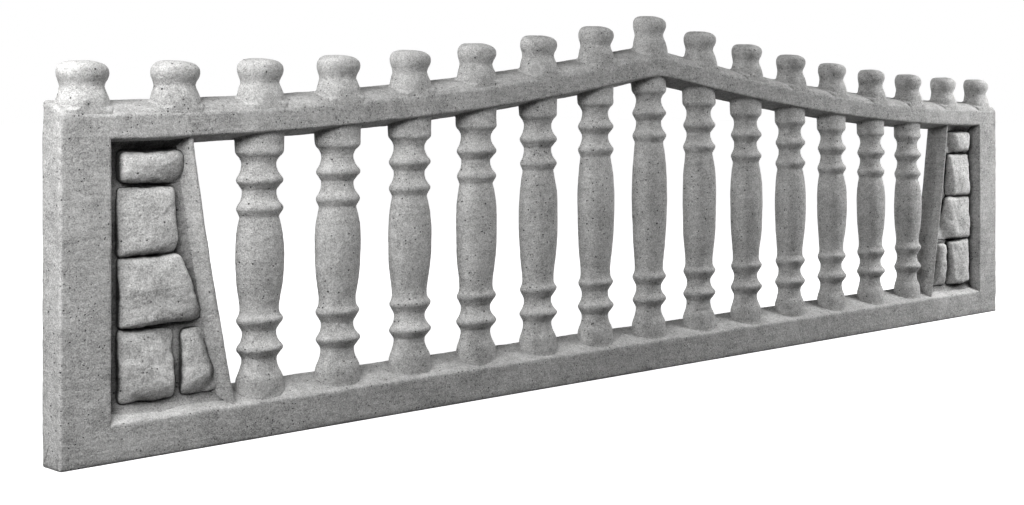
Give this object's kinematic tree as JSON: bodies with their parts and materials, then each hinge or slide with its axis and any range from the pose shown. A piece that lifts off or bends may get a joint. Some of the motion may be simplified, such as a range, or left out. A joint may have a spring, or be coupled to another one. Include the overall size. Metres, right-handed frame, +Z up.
{
  "type": "concrete fence panel",
  "caption": "Arched precast concrete fence panel with a flat back, turned balusters, mushroom finials and imitation stone ends.",
  "frame": {"origin": "middle of the underside, at half the panel's thickness", "axes": "+X along the panel, -Y out of the show face, +Y out of the flat back, +Z up"},
  "size_m": [2, 0.0404, 0.5364],
  "materials": {
    "concrete": "matte",
    "steel": "satin"
  },
  "bodies": {
    "root": {"bottom_rail": "concrete", "top_rail": "concrete", "baluster_01": "concrete", "baluster_02": "concrete", "baluster_03": "concrete", "baluster_04": "concrete", "baluster_05": "concrete", "baluster_06": "concrete", "baluster_07": "concrete", "baluster_08": "concrete", "baluster_09": "concrete", "baluster_10": "concrete", "baluster_11": "concrete", "baluster_12": "concrete", "baluster_13": "concrete", "finial_01": "concrete", "finial_02": "concrete", "finial_03": "concrete", "finial_04": "concrete", "finial_05": "concrete", "finial_06": "concrete", "finial_07": "concrete", "finial_08": "concrete", "finial_09": "concrete", "finial_10": "concrete", "finial_11": "concrete", "finial_12": "concrete", "finial_13": "concrete", "finial_14": "concrete", "finial_15": "concrete", "finial_16": "concrete", "finial_17": "concrete", "left_stile": "concrete", "left_infill": "concrete", "left_rib": "concrete", "left_stone_1": "concrete", "left_stone_2": "concrete", "left_stone_3": "concrete", "left_stone_4": "concrete", "left_stone_5": "concrete", "right_stile": "concrete", "right_infill": "concrete", "right_rib": "concrete", "right_stone_1": "concrete", "right_stone_2": "concrete", "right_stone_3": "concrete", "right_stone_4": "concrete", "right_stone_5": "concrete", "reinforcement_mat": "steel"}
  },
  "joints": []
}
